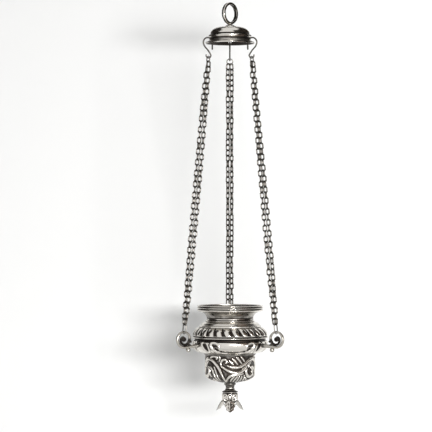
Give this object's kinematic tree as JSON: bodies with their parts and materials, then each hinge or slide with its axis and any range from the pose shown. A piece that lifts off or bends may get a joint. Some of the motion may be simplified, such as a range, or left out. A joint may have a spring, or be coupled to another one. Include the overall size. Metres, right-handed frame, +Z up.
{
  "type": "hanging church lamp",
  "caption": "Hanging sanctuary lamp: a bell canopy on a swivelling ring, double-strand chains on S-hooks, and a round bowl with scroll handles, an oil glass with a wick, and a leaf finial.",
  "frame": {"origin": "inside top of the hanging ring, the point the lamp hangs from", "axes": "+Z up along the lamp's axis, -Y the front, +Y towards the back chain, +X to the right"},
  "size_m": [0.1054, 0.0982, 0.4011],
  "materials": {
    "bright_silver": "polished",
    "chain_silver": "satin",
    "clear_glass": "gloss",
    "cotton": "matte"
  },
  "bodies": {
    "hanger": {"hanging_ring": "bright_silver", "ring_collar": "bright_silver", "ring_nut": "bright_silver"},
    "canopy": {"canopy": "bright_silver"},
    "hook_back": {"hook_back": "chain_silver"},
    "chain_back": {"top_link_back": "chain_silver", "strand_a_back": "chain_silver", "strand_b_back": "chain_silver"},
    "end_link_back": {"end_link_back": "chain_silver"},
    "hook_left": {"hook_left": "chain_silver"},
    "chain_left": {"top_link_left": "chain_silver", "strand_a_left": "chain_silver", "strand_b_left": "chain_silver"},
    "end_link_left": {"end_link_left": "chain_silver"},
    "hook_right": {"hook_right": "chain_silver"},
    "chain_right": {"top_link_right": "chain_silver", "strand_a_right": "chain_silver", "strand_b_right": "chain_silver"},
    "end_link_right": {"end_link_right": "chain_silver"},
    "bowl": {"bowl_rim": "bright_silver", "neck_and_shoulder": "bright_silver", "girdle_moulding": "bright_silver", "bowl_body": "bright_silver", "lower_cup": "bright_silver", "spool": "bright_silver", "finial": "bright_silver", "finial_stud": "bright_silver", "finial_nut": "bright_silver", "handle_back": "bright_silver", "handle_left": "bright_silver", "handle_right": "bright_silver"},
    "oil_glass": {"oil_glass": "clear_glass"},
    "wick_holder": {"wick_bridge": "bright_silver"},
    "wick": {"wick": "cotton"}
  },
  "joints": [
    {"name": "ring_swivel", "type": "hinge", "parent": "hanger", "child": "canopy", "pos_m": [0, 0, -0.0215], "axis": [0, 0, 1], "continuous": true},
    {"name": "sway_front_back", "type": "hinge", "parent": "canopy", "child": "hook_back", "pos_m": [0, 0.02101, -0.03509], "axis": [1, 0, 0], "range_deg": [-10, 10]},
    {"name": "sway_side", "type": "hinge", "parent": "hook_back", "child": "chain_back", "pos_m": [0, 0.0243, -0.05228], "axis": [0, 1, 0], "range_deg": [-10, 10]},
    {"name": "end_link_back_turn", "type": "hinge", "parent": "chain_back", "child": "end_link_back", "pos_m": [0, 0.0506, -0.3117], "axis": [0, 1, 0], "range_deg": [-5, 5]},
    {"name": "bowl_tilt", "type": "hinge", "parent": "end_link_back", "child": "bowl", "pos_m": [0, 0.0515, -0.32035], "axis": [1, 0, 0], "range_deg": [-4.2, 4.2]},
    {"name": "hook_left_turn", "type": "hinge", "parent": "canopy", "child": "hook_left", "pos_m": [-0.01819, -0.0105, -0.03509], "axis": [1, 0, 0], "range_deg": [-10, 10]},
    {"name": "chain_left_turn", "type": "hinge", "parent": "hook_left", "child": "chain_left", "pos_m": [-0.02104, -0.01215, -0.05228], "axis": [0, 1, 0], "range_deg": [-10, 10]},
    {"name": "end_link_left_turn", "type": "hinge", "parent": "chain_left", "child": "end_link_left", "pos_m": [-0.04382, -0.0253, -0.3117], "axis": [0, 1, 0], "range_deg": [-5, 5]},
    {"name": "hook_right_turn", "type": "hinge", "parent": "canopy", "child": "hook_right", "pos_m": [0.01819, -0.0105, -0.03509], "axis": [1, 0, 0], "range_deg": [-10, 10]},
    {"name": "chain_right_turn", "type": "hinge", "parent": "hook_right", "child": "chain_right", "pos_m": [0.02104, -0.01215, -0.05228], "axis": [0, 1, 0], "range_deg": [-10, 10]},
    {"name": "end_link_right_turn", "type": "hinge", "parent": "chain_right", "child": "end_link_right", "pos_m": [0.04382, -0.0253, -0.3117], "axis": [0, 1, 0], "range_deg": [-5, 5]},
    {"name": "glass_lift", "type": "slide", "parent": "bowl", "child": "oil_glass", "axis": [0, 0, 1], "range_m": [0, 0.06]},
    {"name": "wick_holder_lift", "type": "slide", "parent": "oil_glass", "child": "wick_holder", "axis": [0, 0, 1], "range_m": [0, 0.045]},
    {"name": "wick_feed", "type": "slide", "parent": "wick_holder", "child": "wick", "axis": [0, 0, 1], "range_m": [0, 0.006]}
  ],
  "couplings": [
    {"joint": "end_link_back_turn", "follows": "sway_side", "ratio": -0.48025},
    {"joint": "bowl_tilt", "follows": "sway_front_back", "ratio": -0.4079},
    {"joint": "hook_left_turn", "follows": "sway_front_back", "ratio": 1},
    {"joint": "chain_left_turn", "follows": "sway_side", "ratio": 1},
    {"joint": "end_link_left_turn", "follows": "sway_side", "ratio": -0.48025},
    {"joint": "hook_right_turn", "follows": "sway_front_back", "ratio": 1},
    {"joint": "chain_right_turn", "follows": "sway_side", "ratio": 1},
    {"joint": "end_link_right_turn", "follows": "sway_side", "ratio": -0.48025}
  ]
}
